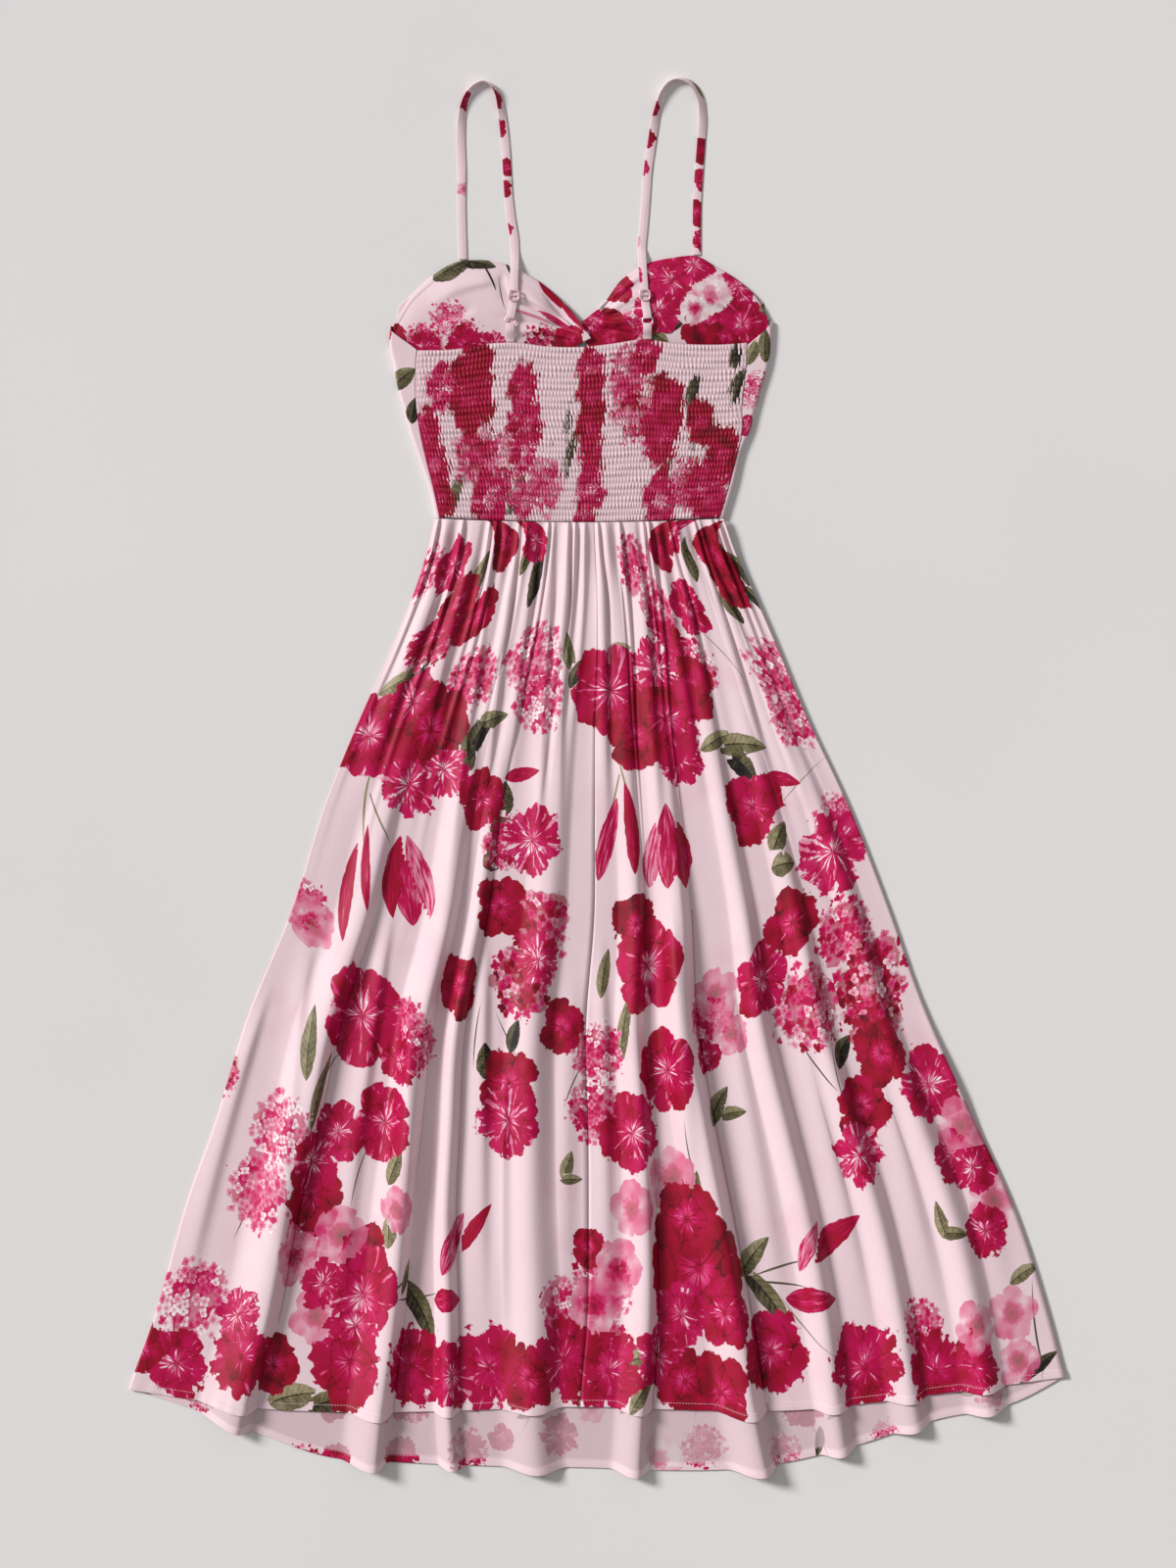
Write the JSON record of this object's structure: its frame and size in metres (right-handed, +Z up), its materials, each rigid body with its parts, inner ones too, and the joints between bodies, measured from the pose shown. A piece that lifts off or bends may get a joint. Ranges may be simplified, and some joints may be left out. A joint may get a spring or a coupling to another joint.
{
  "type": "slip dress",
  "caption": "Strappy midi slip dress laid flat with its back up: shirred back bodice, crossed front cups showing their lining, and a gathered skirt falling in flutes.",
  "frame": {"origin": "middle of the laid-out outline, on the surface that the dress lies on", "axes": "+Y towards the straps and -Y towards the hem, +X to the right in the picture, +Z up out of the dress's back"},
  "size_m": [0.9564, 1.4276, 0.022],
  "materials": {
    "floral_right_side": "soft satin-faced woven cloth, pale pink with a crimson, magenta and olive flower print",
    "floral_wrong_side": "the same cloth's wrong side, with the print showing through faded",
    "strap_hardware": "pale pink coated rings and sliders"
  },
  "bodies": {
    "root": {"bodice_back": "floral_right_side", "side_panel_left": "floral_right_side", "side_panel_right": "floral_right_side", "front_midriff": "floral_right_side", "cup_left": "floral_right_side", "cup_right": "floral_right_side", "cup_lining_left": "floral_right_side", "cup_lining_right": "floral_right_side", "skirt_back_left": "floral_right_side", "skirt_back_right": "floral_right_side", "skirt_front": "floral_wrong_side", "strap_left": "floral_right_side", "strap_right": "floral_right_side", "strap_tab_left": "floral_right_side", "strap_tab_right": "floral_right_side", "slider_left": "strap_hardware", "slider_right": "strap_hardware", "ring_left": "strap_hardware", "ring_right": "strap_hardware"}
  },
  "joints": []
}
